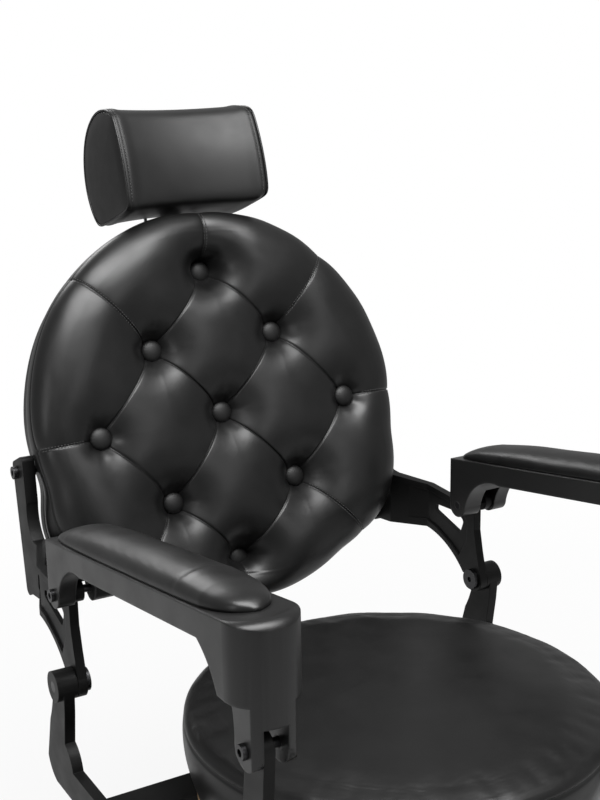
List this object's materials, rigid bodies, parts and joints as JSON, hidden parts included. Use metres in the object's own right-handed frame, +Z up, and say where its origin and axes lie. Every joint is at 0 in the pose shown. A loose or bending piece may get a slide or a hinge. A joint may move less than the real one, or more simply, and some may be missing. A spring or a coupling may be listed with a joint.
{
  "type": "threading chair",
  "caption": "Padded chair with a round buttoned back, linked armrests and footrest, sliding headrest and a foot-pumped swivel column on a round base.",
  "frame": {"origin": "on the floor, on the column's axis, at the underside of the base plate", "axes": "+X is the sitter's left-to-right towards the side of the release lever, +Y points to the back of the chair, +Z is up; the chair faces -Y"},
  "size_m": [0.7146, 1.2325, 1.2282],
  "materials": {
    "black_leatherette": "smooth satin leatherette",
    "black_casting": "satin black powder coat",
    "black_steel": "satin black powder coat",
    "dark_bolts": "black oxide",
    "bright_steel": "ground and polished",
    "raw_iron": "machined and oiled",
    "bearing_bronze": "sintered bronze",
    "black_rubber": "matt",
    "black_plastic": "fine grain",
    "plywood": "sanded birch plywood"
  },
  "bodies": {
    "base": {"base_plate": "raw_iron", "base_edge_ring": "black_rubber", "base_cover": "black_steel", "pump_cylinder": "raw_iron", "pump_gland": "raw_iron", "pump_block": "black_steel", "pedal_pin": "dark_bolts"},
    "pedal": {"pump_pedal": "black_steel", "pedal_pad": "black_rubber"},
    "lift": {"ram": "bright_steel", "ram_piston": "raw_iron", "swivel_bearing": "bearing_bronze"},
    "seat_carrier": {"swivel_hub": "raw_iron", "hub_bolts": "dark_bolts", "swivel_plate": "black_steel", "column_sleeve": "black_steel", "rear_cross_tube": "black_steel", "front_cross_tube": "black_steel", "side_frame_right": "black_casting", "side_frame_left": "black_casting", "side_bolts": "dark_bolts", "back_pivot_bolts": "dark_bolts", "leg_pivot_bolts": "dark_bolts", "seat_board": "plywood", "seat_screws": "dark_bolts", "seat_cushion": "black_leatherette", "fixed_pins": "dark_bolts"},
    "lever": {"release_lever": "black_steel", "lever_grip": "black_rubber"},
    "back": {"back_cushion": "black_leatherette", "back_board": "plywood", "back_cover": "black_plastic", "back_buttons": "black_leatherette", "strap_bolts": "dark_bolts", "back_bracket_right": "black_casting", "back_bracket_left": "black_casting", "back_pivot_bushes": "bearing_bronze", "arm_pivot_bolts": "dark_bolts", "cross_bar": "black_steel", "spring_lug_pin": "dark_bolts", "headrest_guide": "black_steel", "guide_bushes": "black_plastic"},
    "headrest": {"headrest_bar": "bright_steel", "headrest_rods": "bright_steel", "headrest_board": "plywood", "headrest_cushion": "black_leatherette"},
    "right_arm": {"armrest_right": "black_casting", "arm_pad_right": "black_leatherette"},
    "left_arm": {"armrest_left": "black_casting", "arm_pad_left": "black_leatherette"},
    "footrest": {"footrest_leg_right": "black_casting", "footrest_leg_left": "black_casting", "leg_pivot_bushes": "bearing_bronze", "front_hinge_bolts": "dark_bolts", "footrest_bolts": "dark_bolts", "footrest_tube": "black_steel", "step_plate": "black_steel", "step_tread": "black_rubber"},
    "spring_body": {"recline_cylinder": "black_steel"},
    "spring_rod": {"recline_rod": "bright_steel"}
  },
  "joints": [
    {"name": "pump_stroke", "type": "hinge", "parent": "base", "child": "pedal", "pos_m": [0, 0.084, 0.107], "axis": [-1, 0, 0], "range_deg": [0, 11], "stiffness_Nm_per_rad": 22, "springref_deg": -11.46},
    {"name": "height_slide", "type": "slide", "parent": "base", "child": "lift", "axis": [0, 0, 1], "range_m": [0, 0.15]},
    {"name": "seat_swivel", "type": "hinge", "parent": "lift", "child": "seat_carrier", "pos_m": [0, 0, 0.36], "axis": [0, 0, 1], "continuous": true},
    {"name": "lever_lift", "type": "hinge", "parent": "seat_carrier", "child": "lever", "pos_m": [0.3495, 0.06, 0.412], "axis": [-1, 0, 0], "range_deg": [0, 20], "stiffness_Nm_per_rad": 3, "springref_deg": -14.32},
    {"name": "back_recline", "type": "hinge", "parent": "seat_carrier", "child": "back", "pos_m": [0, 0.249, 0.533], "axis": [-1, 0, 0], "range_deg": [0, 40]},
    {"name": "headrest_slide", "type": "slide", "parent": "back", "child": "headrest", "axis": [0, 0.2823, 0.9593], "range_m": [0, 0.1]},
    {"name": "right_arm_link", "type": "hinge", "parent": "back", "child": "right_arm", "pos_m": [0.3065, 0.235, 0.66], "axis": [-1, 0, 0], "range_deg": [-40, 0]},
    {"name": "left_arm_link", "type": "hinge", "parent": "back", "child": "left_arm", "pos_m": [-0.3065, 0.235, 0.66], "axis": [-1, 0, 0], "range_deg": [-40, 0]},
    {"name": "footrest_swing", "type": "hinge", "parent": "seat_carrier", "child": "footrest", "pos_m": [0, -0.221, 0.543], "axis": [-1, 0, 0], "range_deg": [0, 40]},
    {"name": "spring_swing", "type": "hinge", "parent": "seat_carrier", "child": "spring_body", "pos_m": [0, 0.165, 0.372], "axis": [-1, 0, 0], "range_deg": [0, 24]},
    {"name": "spring_slide", "type": "slide", "parent": "spring_body", "child": "spring_rod", "axis": [0, 0.9086, 0.4176], "range_m": [-0.094, 0]}
  ],
  "couplings": [
    {"joint": "right_arm_link", "follows": "back_recline", "ratio": -1},
    {"joint": "left_arm_link", "follows": "back_recline", "ratio": -1},
    {"joint": "footrest_swing", "follows": "back_recline", "ratio": 1},
    {"joint": "spring_swing", "follows": "back_recline", "ratio": 0.5768},
    {"joint": "spring_slide", "follows": "back_recline", "m_per_rad": -0.132}
  ]
}
